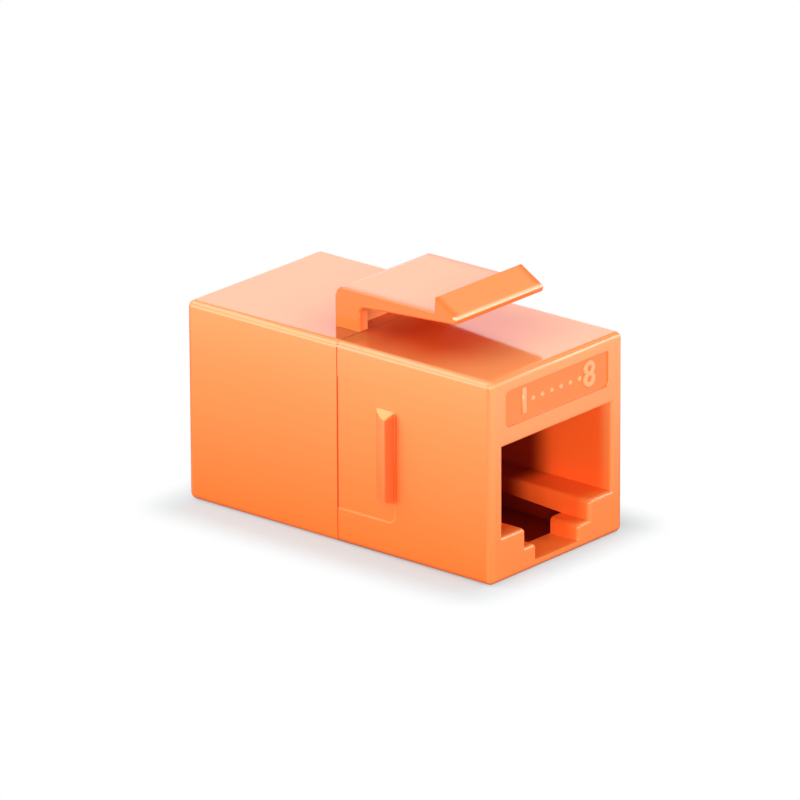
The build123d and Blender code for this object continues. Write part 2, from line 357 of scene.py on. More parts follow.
def handling_marks_group() -> NodeTree:
    """Hair-fine marks from the mould's polish and from handling, as a mask from 0 to 1.

    Returns:
        A group with the marks' sizes, and one output, Marks.
    """
    group, tree, given, result = new_group(
        "handling_marks",
        {"Scale": 900.0, "Width": 0.02, "Bend Scale": 300.0, "Bend": 0.0008},
        {"Marks": "NodeSocketFloat"},
    )
    size = given.outputs
    stretch = (1.0, 0.18, 0.7)
    turn = (0.5, 0.2, 0.6)
    place = tree.add("ShaderNodeTexCoord").outputs["Object"]
    bend = tree.add(
        "ShaderNodeTexNoise", {"Vector": place, "Scale": size["Bend Scale"], "Detail": 2.0}
    )
    stretched = tree.add(
        "ShaderNodeMapping", {"Vector": place, "Scale": stretch, "Rotation": turn}
    )
    pulled = tree.add(
        "ShaderNodeMix",
        {0: size["Bend"], 4: stretched.outputs[0], 5: bend.outputs["Color"]},
        data_type="VECTOR",
    )
    cells = tree.add(
        "ShaderNodeTexVoronoi",
        {"Vector": pulled.outputs[1], "Scale": size["Scale"]},
        feature="DISTANCE_TO_EDGE",
    )
    near = tree.math("DIVIDE", cells.outputs["Distance"], size["Width"])
    marks = tree.math("SUBTRACT", 1.0, tree.math("MINIMUM", near, 1.0))
    tree.link(marks, result.inputs["Marks"])
    return group


ZONE_SIZES = {
    "Mouth": 13.74 * MM,
    "Full Depth": 12.6 * MM,
    "Port Half Width": 6.3 * MM,
    "Port Low": 0.74 * MM,
    "Port High": 10.3 * MM,
    "Depth Start": 8.8 * MM,
    "Depth End": 6.4 * MM,
    "Chamber Depth": 11.42 * MM,
    "Chamber Half Width": 4.65 * MM,
    "Chamber Low": 0.3 * MM,
    "Chamber High": 1.84 * MM,
    "Recess Low": 11.2 * MM,
    "Recess High": 14.05 * MM,
    "Recess Floor": 13.87 * MM,
    "Recess Face": 13.99 * MM,
    "Rim Right": 5.45 * MM,
    "Seam Half Width": 0.05 * MM,
    "Seam High": 14.7 * MM,
    "Roof Low": 14.8 * MM,
    "Roof High": 15.0 * MM,
    "Latch Middle": -3.0 * MM,
    "Latch Half Width": 3.2 * MM,
    "Latch Half Length": 2.8 * MM,
    "Latch Reach": 7.2 * MM,
    "Latch Lit From": -0.3 * MM,
    "Latch Lit To": 1.9 * MM,
    "Latch Lit Share": 0.5,
    "Latch Foot": 15.0 * MM,
    "Latch Inner": 3.9 * MM,
    "Latch Outer": 4.75 * MM,
    "Tip Reach": -8.6 * MM,
    "Tip Top": 17.78 * MM,
    "Catch Reach": -8.5 * MM,
    "Catch Height": 17.86 * MM,
    "Catch Line": 0.15 * MM,
    "Root Slant": 0.85,
    "Root Back": 6.26 * MM,
    "Root Back Full": 6.05 * MM,
    "Root Front": -1.9 * MM,
    "Root Front Full": -0.4 * MM,
    "Rib Side": 7.2 * MM,
    "Rib Low": 3.9 * MM,
    "Rib High": 11.05 * MM,
    "Rib Fade": 0.7 * MM,
    "Rib Stop": -5.12 * MM,
    "Rib Front": -5.3 * MM,
    "Rib Reach": -5.9 * MM,
    "Rib Back": -3.4 * MM,
    "Rib Foot Outer": 7.42 * MM,
    "Rib Foot Back": -5.2 * MM,
    "Rib Foot Front": -5.45 * MM,
    "Rib Slope": 0.387,
    "Rib Crown": 13.65 * MM,
    "Rib Face": 7.265 * MM,
    "Pad Middle Y": 0.6 * MM,
    "Pad Middle Z": 7.5 * MM,
    "Pad Inner Y": 5.24 * MM,
    "Pad Inner Z": 4.3 * MM,
    "Pad Radius": 0.6 * MM,
    "Pad Line": 0.11 * MM,
    "Pad Low": 3.0 * MM,
    "Pad High": 5.0 * MM,
    "Edge Start": 6.72 * MM,
    "Edge Full": 6.9 * MM,
    "Edge Low": 14.46 * MM,
    "Edge High": 14.66 * MM,
    "End Start": 13.45 * MM,
    "End Full": 13.66 * MM,
    "End Fade": 13.92 * MM,
}


class ZoneMasks:
    """Writes the masks of the zones, each from 0 to 1, from Object coordinates."""

    def __init__(self, tree: Tree, given: Node) -> None:
        """Reads the place on the piece.

        Args:
            tree: The group's tree.
            given: The group's input node, with the sizes of ZONE_SIZES.
        """
        self.tree = tree
        self.size = given.outputs
        self.x, self.y, self.height = tree.place()
        self.across = tree.math("ABSOLUTE", self.x)
        self.along = tree.math("ABSOLUTE", self.y)
        self.roof = tree.between(self.height, self.size["Roof Low"], self.size["Roof High"])

    def ports(self) -> dict[Zone, Socket]:
        """The inside of the two ports, which get painted shade.

        Returns:
            Zone to its mask.
        """
        tree, size = self.tree, self.size
        bore = tree.every(
            tree.under(self.across, size["Port Half Width"]),
            tree.between(self.height, size["Port Low"], size["Port High"]),
        )
        chamber = tree.every(
            tree.under(self.along, size["Chamber Depth"]),
            tree.under(self.across, size["Chamber Half Width"]),
            tree.between(self.height, size["Chamber Low"], size["Chamber High"]),
        )
        return {
            Zone.PORT: tree.every(tree.grown(self.along, size["Mouth"], size["Full Depth"]), bore),
            Zone.DEPTH: tree.every(
                tree.grown(self.along, size["Depth Start"], size["Depth End"]), bore
            ),
            Zone.CHAMBER: chamber,
        }

    def recess(self) -> dict[Zone, Socket]:
        """The label recess's floor and wall, which get painted shade, and a painted highlight on
        the wall's +X end.

        Returns:
            Zone to its mask.
        """
        tree, size = self.tree, self.size
        panel = tree.every(
            tree.under(self.across, size["Port Half Width"]),
            tree.between(self.height, size["Recess Low"], size["Recess High"]),
        )
        rim = tree.every(panel, tree.between(self.along, size["Recess Floor"], size["Recess Face"]))
        return {
            Zone.RECESS: tree.every(
                panel, tree.between(self.along, size["Mouth"], size["Recess Floor"])
            ),
            Zone.RIM: rim,
            Zone.LIT_RIM: tree.every(rim, tree.under(size["Rim Right"], self.x)),
        }

    def latch(self) -> dict[Zone, Socket]:
        """The painted shade on the latch's sides, the painted highlight on its catch, and its shade
        on the roof.

        Returns:
            Zone to its mask.
        """
        tree, size = self.tree, self.size
        away = tree.length(
            tree.outside(self.across, size["Latch Half Width"]),
            tree.outside(tree.gap(self.y, size["Latch Middle"]), size["Latch Half Length"]),
        )
        lit = tree.grown(self.x, size["Latch Lit From"], size["Latch Lit To"])
        lit_share = tree.math("MULTIPLY", lit, size["Latch Lit Share"])
        slanted = tree.math("ADD", self.y, tree.math("MULTIPLY", self.across, size["Root Slant"]))
        tip = tree.every(
            tree.under(self.y, size["Tip Reach"]), tree.under(self.height, size["Tip Top"])
        )
        flank = tree.grown(self.across, size["Latch Inner"], size["Latch Outer"])
        catch_off = tree.gap(self.height, size["Catch Height"])
        return {
            Zone.LATCH_SHADE: tree.every(
                tree.grown(away, size["Latch Reach"], 0.0),
                tree.math("SUBTRACT", 1.0, lit_share),
                self.roof,
            ),
            Zone.ROOT_SHADE: tree.every(
                tree.grown(slanted, size["Root Back"], size["Root Back Full"]),
                tree.grown(self.y, size["Root Front"], size["Root Front Full"]),
                tree.between(self.across, size["Latch Outer"], size["Edge Start"]),
                self.roof,
            ),
            Zone.LATCH_SIDE: tree.every(
                tree.under(size["Latch Foot"], self.height), tree.math("MAXIMUM", flank, tip)
            ),
            Zone.CATCH_EDGE: tree.every(
                tree.grown(catch_off, size["Catch Line"], 0.0),
                tree.under(self.y, size["Catch Reach"]),
            ),
        }

    def ribs(self) -> dict[Zone, Socket]:
        """The painted shade and highlight on the two stop ribs.

        Returns:
            Zone to its mask.
        """
        tree, size = self.tree, self.size
        low = tree.math("ADD", size["Rib Low"], size["Rib Fade"])
        high = tree.math("SUBTRACT", size["Rib High"], size["Rib Fade"])
        span = tree.every(
            tree.under(size["Rib Side"], self.across),
            tree.grown(self.height, size["Rib Low"], low),
            tree.grown(self.height, size["Rib High"], high),
        )
        sloped = tree.math("MULTIPLY", self.across, size["Rib Slope"])
        crown = tree.math("ADD", self.height, sloped)
        return {
            Zone.RIB_SHADE: tree.every(
                span,
                tree.grown(self.y, size["Rib Reach"], size["Rib Front"]),
                tree.under(self.y, size["Rib Stop"]),
            ),
            Zone.RIB_FOOT: tree.every(
                span,
                tree.under(self.across, size["Rib Foot Outer"]),
                tree.between(self.y, size["Rib Foot Front"], size["Rib Foot Back"]),
            ),
            Zone.RIB_TOP: tree.every(
                tree.under(size["Rib Face"], self.across),
                tree.under(size["Rib Crown"], crown),
                tree.between(self.y, size["Rib Front"], size["Rib Back"]),
            ),
        }

    def edges(self) -> dict[Zone, Socket]:
        """The painted shade in the joint, the painted highlight on the outline of the pad recess,
        and the painted highlight and shade on the housings' rounded edges.

        Returns:
            Zone to its mask.
        """
        tree, size = self.tree, self.size
        pad_away = tree.length(
            tree.outside(tree.gap(self.y, size["Pad Middle Y"]), size["Pad Inner Y"]),
            tree.outside(tree.gap(self.height, size["Pad Middle Z"]), size["Pad Inner Z"]),
        )
        corner = tree.grown(self.across, size["Edge Start"], size["Edge Full"])
        return {
            Zone.SEAM: tree.every(
                tree.under(self.along, size["Seam Half Width"]),
                tree.under(self.height, size["Seam High"]),
            ),
            Zone.PAD_EDGE: tree.every(
                tree.grown(tree.gap(pad_away, size["Pad Radius"]), size["Pad Line"], 0.0),
                tree.grown(self.height, size["Pad High"], size["Pad Low"]),
                tree.under(self.y, 0.0),
                tree.between(self.across, size["Port Half Width"], size["Rib Face"]),
            ),
            Zone.LONG_EDGE: tree.every(
                corner, tree.grown(self.height, size["Edge Low"], size["Edge High"])
            ),
            Zone.UPRIGHT_EDGE: tree.every(
                corner,
                tree.grown(self.along, size["End Start"], size["End Full"]),
                tree.grown(self.along, size["End Fade"], size["End Full"]),
                tree.grown(self.height, size["Edge High"], size["Edge Low"]),
            ),
        }


def zones_group() -> NodeTree:
    """The masks of the zones, in one group.

    Returns:
        A group with the sizes of ZONE_SIZES and one output for each Zone.
    """
    outputs = {zone.value: "NodeSocketFloat" for zone in Zone}
    group, tree, given, result = new_group("zones", ZONE_SIZES, outputs)
    zones = ZoneMasks(tree, given)
    for write in (zones.ports, zones.recess, zones.latch, zones.ribs, zones.edges):
        for zone, mask in write().items():
            tree.link(mask, result.inputs[zone.value])
    return group


# Finishes


@dataclass(frozen=True)
class Finish:
    """One finish of the coupler, as a procedural material on Object coordinates.

    Attributes:
        name: The material's name.
        slot: The record's slot that it stands for. It is not used.
        colour: The main colour, linear.
        flow_colour: What the colour drifts towards where the melt flowed differently.
        roughness: The middle roughness.
        roughness_spread: How far the fine grain moves the roughness.
        grain_scale: Cells of the fine grain per metre.
        wave_height: Height of the skin's waviness in metres.
        metallic: 0 for plastic, 1 for plating.
        specular: The Principled shader's specular level.
        foot_colour: Painted shade near the resting face, which makes the housings darker and redder
            towards the bottom.
        zone_colours: The colours of the coupler's zones, painted shade and painted highlights, laid
            over each other in this order.
    """

    name: str
    slot: Slot
    colour: Colour
    flow_colour: Colour
    roughness: float
    roughness_spread: float = 0.03
    grain_scale: float = 5000.0
    wave_height: float = 0.000002
    metallic: float = 0.0
    specular: float = 0.5
    foot_colour: Colour | None = None
    zone_colours: tuple[tuple[Zone, Colour], ...] = ()

    def tint(self, tree: Tree, groups: dict[str, NodeTree], colour: Socket) -> Socket:
        """Lays the painted shade of the foot and the zones' painted shade and highlights over the
        skin's colour.

        Args:
            tree: The material's tree.
            groups: The shared shader node groups by name.
            colour: The skin's colour.

        Returns:
            The colour that the piece shows.
        """
        # Painted shade, blended in by height towards the resting face.
        if self.foot_colour:
            tone = tree.add("ShaderNodeGroup", node_tree=groups["height_shade"])
            colour = tree.mix(tone.outputs["Rise"], self.foot_colour, colour)
        if self.zone_colours:
            zones = tree.add("ShaderNodeGroup", node_tree=groups["zones"])
            for zone, inside in self.zone_colours:
                colour = tree.mix(zones.outputs[zone.value], colour, inside)
        return colour

    def build(self, groups: dict[str, NodeTree]) -> bpy.types.Material:
        """Writes the material.

        Args:
            groups: The shared shader node groups by name.

        Returns:
            The finished material.
        """
        material = bpy.data.materials.new(self.name)
        tree = blank_tree(material)
        skin = tree.add(
            "ShaderNodeGroup",
            {
                "Colour": self.colour,
                "Flow Colour": self.flow_colour,
                "Grain Scale": self.grain_scale,
                "Roughness": self.roughness,
                "Roughness Spread": self.roughness_spread,
            },
            node_tree=groups["moulded_skin"],
        )
        marks = tree.add("ShaderNodeGroup", node_tree=groups["handling_marks"])
        worn = tree.math("MULTIPLY", marks.outputs["Marks"], self.roughness_spread)
        bump = tree.add(
            "ShaderNodeBump",
            {"Height": skin.outputs["Height"], "Distance": self.wave_height, "Strength": 1.0},
        )
        shader = tree.add(
            "ShaderNodeBsdfPrincipled",
            {
                "Base Color": self.tint(tree, groups, skin.outputs["Colour"]),
                "Roughness": tree.math("ADD", skin.outputs["Roughness"], worn),
                "Metallic": self.metallic,
                "Specular IOR Level": self.specular,
                "Normal": bump.outputs[0],
            },
        )
        output = tree.add("ShaderNodeOutputMaterial")
        tree.link(shader.outputs[0], output.inputs["Surface"])
        return material


ORANGE_HOUSING = Finish(
    name="orange_housing",
    slot=Slot.HOUSING,
    colour=(1.0, 0.315, 0.1, 1.0),
    flow_colour=(1.0, 0.335, 0.115, 1.0),
    roughness=0.06,
    # Painted shade: darker and redder towards the resting face.
    foot_colour=(1.0, 0.186, 0.029, 1.0),
    zone_colours=(
        # Painted shade on the label recess's floor.
        (Zone.RECESS, (1.0, 0.205, 0.034, 1.0)),
        # Painted shade on the label recess's wall.
        (Zone.RIM, (1.0, 0.23, 0.055, 1.0)),
        (Zone.LIT_RIM, (1.0, 0.45, 0.2, 1.0)),
        (Zone.LATCH_SHADE, (0.7, 0.1, 0.022, 1.0)),
        (Zone.ROOT_SHADE, (0.54, 0.155, 0.04, 1.0)),
        # Painted highlight along the pad recess's lower outline.
        (Zone.PAD_EDGE, (1.0, 0.32, 0.1, 1.0)),
        # Painted highlight on the roof's long rounded edges.
        (Zone.LONG_EDGE, (1.0, 0.37, 0.14, 1.0)),
        # Painted shade on the upright rounded edges of the end faces.
        (Zone.UPRIGHT_EDGE, (1.0, 0.24, 0.06, 1.0)),
        # Painted shade on the latch's sides and tip.
        (Zone.LATCH_SIDE, (1.0, 0.205, 0.042, 1.0)),
        # Painted highlight on the catch's lower edge.
        (Zone.CATCH_EDGE, (1.0, 0.66, 0.4, 1.0)),
        # Painted highlight on the rib's upper end.
        (Zone.RIB_TOP, (1.0, 0.54, 0.19, 1.0)),
        (Zone.RIB_SHADE, (1.0, 0.155, 0.036, 1.0)),
        # Deeper painted shade on the fillet at the rib's foot.
        (Zone.RIB_FOOT, (0.95, 0.11, 0.016, 1.0)),
        # Painted shade inside the ports, deepening from the mouth.
        (Zone.PORT, (1.0, 0.125, 0.018, 1.0)),
        # Dark painted shade at the ports' far end.
        (Zone.DEPTH, (0.2, 0.008, 0.002, 1.0)),
        # Dark painted shade in the chamber below the ports' ledges.
        (Zone.CHAMBER, (0.2, 0.008, 0.002, 1.0)),
        # Painted shade in the joint between the housings.
        (Zone.SEAM, (0.7, 0.08, 0.018, 1.0)),
    ),
)
# Painted highlight: the marks are lighter than the housing to stand for the highlights on their
# small rounded edges.
RAISED_MARKS = Finish(
    name="orange_raised_marks",
    slot=Slot.HOUSING,
    colour=(1.0, 0.37, 0.15, 1.0),
    flow_colour=(1.0, 0.39, 0.165, 1.0),
    roughness=0.06,
)
# The carriers' orange, darkened far below the housing's as painted shade, since they sit deep
# inside the ports.
ORANGE_CARRIER = Finish(
    name="orange_carrier_in_painted_shade",
    slot=Slot.CARRIER,
    colour=(0.45, 0.045, 0.01, 1.0),
    flow_colour=(0.5, 0.055, 0.012, 1.0),
    roughness=0.24,
    roughness_spread=0.06,
)
SOLDER_MASK = Finish(
    name="green_solder_mask",
    slot=Slot.BOARD,
    colour=(0.012, 0.1, 0.035, 1.0),
    flow_colour=(0.02, 0.14, 0.05, 1.0),
    roughness=0.35,
    roughness_spread=0.1,
    wave_height=0.000006,
)
GOLD_PLATING = Finish(
    name="gold_plating",
    slot=Slot.CONTACT,
    colour=(0.9, 0.6, 0.2, 1.0),
    flow_colour=(0.95, 0.68, 0.3, 1.0),
    roughness=0.2,
    roughness_spread=0.08,
    metallic=1.0,
)


@dataclass
class PaintShop:
    """Builds every finish once and puts it on pieces.

    Attributes:
        finishes: The finishes that the coupler has.
        materials: Finish name to its material, once the shop is open.
    """

    finishes: tuple[Finish, ...] = (
        ORANGE_HOUSING,
        RAISED_MARKS,
        ORANGE_CARRIER,
        SOLDER_MASK,
        GOLD_PLATING,
    )
    materials: dict[str, bpy.types.Material] = field(default_factory=dict)

    def open(self) -> None:
        """Builds the shared groups and the materials."""
        groups = {
            "moulded_skin": moulded_skin_group(),
            "handling_marks": handling_marks_group(),
            "zones": zones_group(),
            "height_shade": height_tone_group(),
        }
        for finish in self.finishes:
            self.materials[finish.name] = finish.build(groups)

    def dress(self, piece: bpy.types.Object, finish: Finish) -> None:
        """Puts a finish on the whole of a piece and reports the piece.

        Args:
            piece: A mesh object.
            finish: The finish that it gets.
        """
        piece.data.materials.clear()
        piece.data.materials.append(self.materials[finish.name])
        for polygon in piece.data.polygons:
            polygon.material_index = 0
        log.info("%s: %s", piece.name, finish.name)


# Objects


def frame_low(node: str) -> Vector:
    """The lowest corner of a node, in metres."""
    return Vector(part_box(node)[0])


def shown(name: str, data: bpy.types.ID) -> bpy.types.Object:
    """Puts a mesh, a lamp or a camera into the scene.

    Args:
        name: The object's name.
        data: What it shows.

    Returns:
        The new object.
    """
    thing = bpy.data.objects.new(name, data)
    bpy.context.scene.collection.objects.link(thing)
    return thing


def settled_mesh(source: bpy.types.Object) -> bpy.types.Mesh:
    """Turns a number's curve or an object with a live modifier into a plain mesh.

    Args:
        source: An object that isn't in the scene yet. It is deleted.

    Returns:
        What it showed, as a mesh.
    """
    bpy.context.scene.collection.objects.link(source)
    graph = bpy.context.evaluated_depsgraph_get()
    mesh = bpy.data.meshes.new_from_object(source.evaluated_get(graph))
    bpy.data.objects.remove(source)
    return mesh


# The coupler


@dataclass
class MouldedShells:
    """The two housings. Their solids are right, so they only get soft edges and their finish.

    Attributes:
        weld_distance: How near two corners have to be to be joined.
        edge_break: The width of the break on a sharp edge.
        break_angle: How sharp an edge has to be to get one.
        break_segments: How many faces the break has across.
    """

    weld_distance: float = 0.002 * MM
    edge_break: float = 0.11 * MM
    break_angle: float = math.radians(32)
    break_segments: int = 3

    def soften(self, piece: bpy.types.Object) -> None:
        """Joins the solid's triangles and breaks its sharp edges, as a mould does.

        Args:
            piece: A node of the frame.
        """
        weld = piece.modifiers.new("joined_triangles", "WELD")
        weld.merge_threshold = self.weld_distance
        edge = piece.modifiers.new("soft_edges", "BEVEL")
        edge.width = self.edge_break
        edge.segments = self.break_segments
        edge.limit_method = "ANGLE"
        edge.angle_limit = self.break_angle
        edge.harden_normals = True
        edge.use_clamp_overlap = True

    def build(self, shop: PaintShop) -> None:
        """Softens and dresses both housings.

        Args:
            shop: The open paint shop.
        """
        for side in Side:
            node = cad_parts[f"{side.value}_housing"]
            self.soften(node)
            shop.dress(node, ORANGE_HOUSING)


@dataclass
class Innards:
    """The carriers, the board and the contacts.

    Attributes:
        contact_count: How many contacts each carrier holds.
    """

    contact_count: int = CONTACT_COUNT

    def build(self, shop: PaintShop) -> None:
        """Dresses what the housings hold.

        Args:
            shop: The open paint shop.
        """
        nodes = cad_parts
        shop.dress(nodes["circuit_board"], SOLDER_MASK)
        for side in Side:
            shop.dress(nodes[f"{side.value}_contact_carrier"], ORANGE_CARRIER)
            for number in range(1, self.contact_count + 1):
                shop.dress(nodes[f"{side.value}_contact_{number}"], GOLD_PLATING)


@dataclass
class PinMarks:
    """The raised marks in the front recess: the first and last contact's number, pips between.

    Attributes:
        count: How many contacts the marks stand for.
        pitch: From one mark's middle to the next.
        digit_size: The size of the number's type.
        middle_height: The height of the row's middle line.
        recess_depth: How deep the recess's floor lies behind the front face.
        relief: How far a number's straight sides reach, either way from the recess's floor.
        rounding: The radius of a number's rounded edge.
        rounding_steps: How finely that edge is divided.
        outline_steps: How finely a number's outline is divided.
        stroke_growth: How far a number's outline is moved outwards before it is rounded.
        pip_radius: The radius of a pip.
        pip_flatness: How far a pip stands out, as a share of its radius.
        pip_rings: A pip's faces from pole to pole.
        pip_segments: A pip's faces around.
    """

    count: int = CONTACT_COUNT
    pitch: float = 1.016 * MM
    digit_size: float = 2.6 * MM
    middle_height: float = 12.65 * MM
    recess_depth: float = 0.15 * MM
    relief: float = 0.05 * MM
    rounding: float = 0.09 * MM
    rounding_steps: int = 4
    outline_steps: int = 12
    stroke_growth: float = -0.02 * MM
    pip_radius: float = 0.2 * MM
    pip_flatness: float = 0.55
    pip_rings: int = 8
    pip_segments: int = 24

    def place(self, number: int) -> Vector:
        """Finds where the mark of one contact stands on the recess's floor.

        Args:
            number: The contact's number, from 1 at the -X side.

        Returns:
            The mark's middle.
        """
        middle = (self.count + 1) / 2
        face = frame_low("front_housing").y + self.recess_depth
        return Vector(((number - middle) * self.pitch, face, self.middle_height))

    def digit(self, number: int) -> bpy.types.Object:
        """Makes one raised number at its place.

        Args:
            number: The contact's number, from 1 at the -X side.

        Returns:
            A mesh object at the origin with its place in its mesh.
        """
        curve = bpy.data.curves.new(f"digit_{number}", "FONT")
        curve.body = str(number)
        curve.size = self.digit_size
        curve.align_x = "CENTER"
        curve.align_y = "CENTER"
        curve.offset = self.stroke_growth
        curve.extrude = self.relief
        curve.bevel_depth = self.rounding
        curve.bevel_resolution = self.rounding_steps
        curve.resolution_u = self.outline_steps
        mesh = settled_mesh(bpy.data.objects.new(f"digit_{number}", curve))
        stand = Matrix.Rotation(math.radians(90), 4, "X")
        mesh.transform(Matrix.Translation(self.place(number)) @ stand)
        mesh.shade_smooth()
        return shown(f"pin_number_{number}", mesh)

    def pip_tree(self, material: bpy.types.Material) -> NodeTree:
        """Writes the geometry nodes that repeat one dome along the row.

        Args:
            material: What the pips are made of.

        Returns:
            A tree with the inputs Pitch, Radius, Flatness, Count and Start.
        """
        group = bpy.data.node_groups.new("pip_row", "GeometryNodeTree")
        kinds = {
            "Pitch": "Float",
            "Radius": "Float",
            "Flatness": "Float",
            "Count": "Int",
            "Start": "Vector",
        }
        for label, kind in kinds.items():
            group.interface.new_socket(
                name=label, in_out="INPUT", socket_type=f"NodeSocket{kind}"
            )
        group.interface.new_socket(
            name="Geometry", in_out="OUTPUT", socket_type="NodeSocketGeometry"
        )
        tree = Tree(group)
        size = tree.add("NodeGroupInput").outputs
        step = tree.add("ShaderNodeCombineXYZ", {0: size["Pitch"]})
        row = tree.add(
            "GeometryNodeMeshLine",
            {"Count": size["Count"], "Start Location": size["Start"], "Offset": step.outputs[0]},
        )
        dome = tree.add(
            "GeometryNodeMeshUVSphere",
            {"Segments": self.pip_segments, "Rings": self.pip_rings, "Radius": size["Radius"]},
        )
        smooth = tree.add("GeometryNodeSetShadeSmooth", {0: dome.outputs[0]})
        flat = tree.add("ShaderNodeCombineXYZ", {0: 1.0, 1: size["Flatness"], 2: 1.0})
        stood = tree.add(
            "GeometryNodeTransform", {"Geometry": smooth.outputs[0], "Scale": flat.outputs[0]}
        )
        spread = tree.add(
            "GeometryNodeInstanceOnPoints", {"Points": row.outputs[0], "Instance": stood.outputs[0]}
        )
        real = tree.add("GeometryNodeRealizeInstances", {0: spread.outputs[0]})
        painted = tree.add(
            "GeometryNodeSetMaterial", {"Geometry": real.outputs[0], "Material": material}
        )
        tree.link(painted.outputs[0], tree.add("NodeGroupOutput").inputs[0])
        return group

    def pips(self, material: bpy.types.Material) -> bpy.types.Object:
        """Makes the row of small domes between the two numbers.

        Args:
            material: What the pips are made of.

        Returns:
            A mesh object at the origin with its place in its mesh.
        """
        first, last = 2, self.count - 1
        values = {
            "Pitch": self.pitch,
            "Radius": self.pip_radius,
            "Flatness": self.pip_flatness,
            "Count": last - first + 1,
            "Start": self.place(first),
        }
        row = bpy.data.objects.new("pip_row", bpy.data.meshes.new("pip_row"))
        modifier = row.modifiers.new("pip_row", "NODES")
        modifier.node_group = self.pip_tree(material)
        for item in modifier.node_group.interface.items_tree:
            if item.in_out == "INPUT":
                modifier[item.identifier] = values[item.name]
        return shown("pin_pips", settled_mesh(row))

    def build(self, shop: PaintShop) -> None:
        """Makes and dresses the marks.

        Args:
            shop: The open paint shop.
        """
        material = shop.materials[RAISED_MARKS.name]
        for piece in (self.digit(1), self.pips(material), self.digit(self.count)):
            shop.dress(piece, RAISED_MARKS)
            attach(piece, BODY)


# The studio


def way_to(azimuth: float, elevation: float) -> Vector:
    """Points from the coupler to something that stands round it.

    Args:
        azimuth: Degrees from the front port, towards +X.
        elevation: Degrees above the horizon.

    Returns:
        A vector of length 1.
    """
    turn, rise = math.radians(azimuth), math.radians(elevation)
    level = math.cos(rise)
    return Vector((math.sin(turn) * level, -math.cos(turn) * level, math.sin(rise)))


@dataclass(frozen=True)
class PhotoCamera:
    """The camera of the photograph, worked out from the block's edges.

    Attributes:
        azimuth: Degrees from the front port, towards +X.
        elevation: Degrees above the horizon.
        roll: Degrees that the camera is turned about its own axis.
        distance: From the block's middle to the lens, in metres.
        right_shift: How far the camera stands to the right of the block's middle.
        up_shift: How far it stands above it.
        focal_px: The focal length in the photograph's pixels.
        image_px: The photograph's side in pixels.
        block_height: The height of the housings without the latch.
        sensor: The width of the camera's sensor, in millimetres.
        near_share: Where the view starts, as a share of the distance.
        far_share: Where the view ends, as a share of the distance.
    """

    azimuth: float = -49.717
    elevation: float = 19.737
    roll: float = -0.249
    distance: float = 617.8 * MM
    right_shift: float = -0.2867 * MM
    up_shift: float = 1.0733 * MM
    focal_px: float = 8761.8
    image_px: float = 800.0
    block_height: float = 14.95 * MM
    sensor: float = 36.0
    near_share: float = 0.01
    far_share: float = 20.0

    def axes(self) -> tuple[Vector, Vector, Vector]:
        """Works out the camera's directions.

        Returns:
            The camera's right, up and back, each of length 1.
        """
        turn, roll = math.radians(self.azimuth), math.radians(self.roll)
        back = way_to(self.azimuth, self.elevation)
        right = Vector((math.cos(turn), math.sin(turn), 0))
        up = back.cross(right)
        return (
            math.cos(roll) * right + math.sin(roll) * up,
            math.cos(roll) * up - math.sin(roll) * right,
            back,
        )

    def build(self) -> None:
        """Makes the camera and gives it to the scene."""
        right, up, back = self.axes()
        data = bpy.data.cameras.new("photo_camera")
        data.sensor_width = self.sensor
        data.lens = self.focal_px / self.image_px * self.sensor
        data.clip_start = self.distance * self.near_share
        data.clip_end = self.distance * self.far_share
        camera = shown("photo_camera", data)
        eye = (
            Vector((0, 0, self.block_height / 2))
            + back * self.distance
            + right * self.right_shift
            + up * self.up_shift
        )
        turn = Matrix((right, up, back)).transposed().to_4x4()
        camera.matrix_world = Matrix.Translation(eye) @ turn
        bpy.context.scene.camera = camera


@dataclass(frozen=True)
class Softbox:
    """A soft lamp that is turned to the coupler.

    Attributes:
        name: The lamp's name.
        azimuth: Degrees round the coupler, as for the camera.
        elevation: Degrees above the horizon.
        distance: From the coupler's middle, in metres.
        width: The lamp's width in metres.
        height: The lamp's height in metres.
        level: Its brightness, where 1 is white.
    """

    name: str
    azimuth: float
    elevation: float
    distance: float
    width: float
    height: float
    level: float

    def build(self, middle: Vector) -> None:
        """Makes the lamp.

        Args:
            middle: The point that it is turned to.
        """
        way = way_to(self.azimuth, self.elevation)
        data = bpy.data.lights.new(self.name, "AREA")
        data.shape = "RECTANGLE"
        data.size = self.width
        data.size_y = self.height
        data.energy = self.level * math.pi * self.width * self.height
        lamp = shown(self.name, data)
        lamp.visible_camera = False
        turn = way.to_track_quat("Z", "Y").to_matrix().to_4x4()
        lamp.matrix_world = Matrix.Translation(middle + way * self.distance) @ turn


